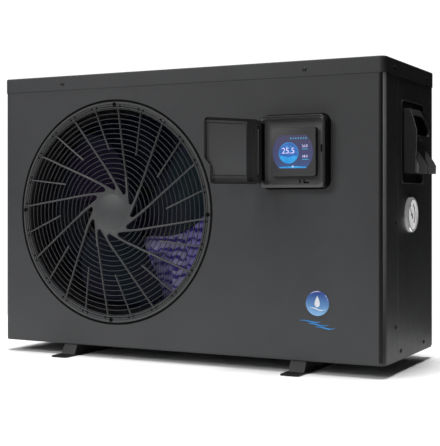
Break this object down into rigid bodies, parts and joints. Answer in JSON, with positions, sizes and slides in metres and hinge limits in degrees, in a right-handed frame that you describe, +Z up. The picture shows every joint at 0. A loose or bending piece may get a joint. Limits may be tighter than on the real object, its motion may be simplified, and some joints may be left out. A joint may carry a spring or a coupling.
{
  "type": "pool heat pump",
  "caption": "Side-discharge pool heat pump: steel casing with a swirl fan grille, controller under a flip cover, pressure gauge, side handle, feet and water ports.",
  "frame": {"origin": "on the ground, at the centre of the four anchoring slots in the feet", "axes": "+X to the right seen from the front (fan on the left), +Y from the front to the rear, +Z up"},
  "size_m": [0.9518, 0.5191, 0.625],
  "materials": {
    "casing_paint": "satin powder coat",
    "foot_paint": "black powder coat",
    "black_plastic": "moulded, fine texture",
    "grille_plastic": "moulded, satin",
    "fan_plastic": "glossy moulded",
    "controller_plastic": "satin",
    "display_glass": "printed glass",
    "galvanised": "zinc coated",
    "fin_stock": "blue coated fins",
    "copper": "copper tube",
    "steel_black": "black enamel",
    "steel": "machined",
    "rubber": "moulded",
    "shell_plastic": "moulded PVC",
    "port_plastic": "grey PVC",
    "board": "circuit board",
    "terminal_plastic": "moulded",
    "chrome": "polished",
    "dial_white": "printed",
    "needle_black": "satin",
    "lens": "clear",
    "badge_blue": "domed resin",
    "screw_dark": "blackened steel"
  },
  "bodies": {
    "cabinet": {"base_pan": "galvanised", "foot_left": "foot_paint", "foot_right": "foot_paint", "front_panel": "casing_paint", "top_cover": "casing_paint", "right_side_panel": "casing_paint", "rear_panel": "casing_paint", "corner_post": "casing_paint", "rear_guard": "black_plastic", "left_guard": "black_plastic", "partition_plate": "galvanised", "fan_ring": "black_plastic", "fan_grille": "grille_plastic", "fan_motor": "steel_black", "motor_bracket": "galvanised", "evaporator_coil": "fin_stock", "coil_end_plates": "galvanised", "return_bends": "copper", "compressor": "steel_black", "compressor_grommets": "rubber", "suction_accumulator": "steel_black", "four_way_valve": "copper", "filter_drier": "copper", "expansion_valve": "copper", "discharge_pipe": "copper", "suction_pipe": "copper", "liquid_pipe": "copper", "heat_exchanger": "shell_plastic", "water_outlet_port": "port_plastic", "water_inlet_port": "port_plastic", "drain_spout": "black_plastic", "electrical_box": "galvanised", "circuit_board": "board", "heat_sink": "fin_stock", "terminal_block": "terminal_plastic", "cable_gland": "black_plastic", "controller_gasket": "rubber", "controller_frame": "controller_plastic", "controller_module": "controller_plastic", "display_glass": "display_glass", "hinge_pins": "steel", "gauge_case": "steel_black", "gauge_bezel": "chrome", "gauge_dial": "dial_white", "gauge_lens": "lens", "side_handle": "black_plastic", "badge": "badge_blue", "cover_screws": "screw_dark", "grille_screws": "screw_dark", "side_panel_screws": "screw_dark", "rear_panel_screws": "screw_dark", "foot_bolts": "steel"},
    "fan": {"fan_impeller": "fan_plastic", "fan_shaft": "steel", "fan_nut": "steel"},
    "cover": {"flip_cover": "controller_plastic"},
    "needle": {"gauge_needle": "needle_black"},
    "outlet_nut": {"union_nut_outlet": "shell_plastic"},
    "inlet_nut": {"union_nut_inlet": "shell_plastic"}
  },
  "joints": [
    {"name": "fan_spin", "type": "hinge", "parent": "cabinet", "child": "fan", "pos_m": [-0.163, -0.095, 0.32], "axis": [0, -1, 0], "continuous": true},
    {"name": "cover_hinge", "type": "hinge", "parent": "cabinet", "child": "cover", "pos_m": [0.2015, -0.191, 0.443], "axis": [0, 0, 1], "range_deg": [-40, 120]},
    {"name": "needle_turn", "type": "hinge", "parent": "cabinet", "child": "needle", "pos_m": [0.4611, -0.006, 0.316], "axis": [1, 0, 0], "range_deg": [-175, 95]},
    {"name": "outlet_nut_turn", "type": "hinge", "parent": "cabinet", "child": "outlet_nut", "pos_m": [0.185, 0.191, 0.372], "axis": [0, 1, 0], "continuous": true},
    {"name": "inlet_nut_turn", "type": "hinge", "parent": "cabinet", "child": "inlet_nut", "pos_m": [0.185, 0.191, 0.092], "axis": [0, 1, 0], "continuous": true}
  ]
}
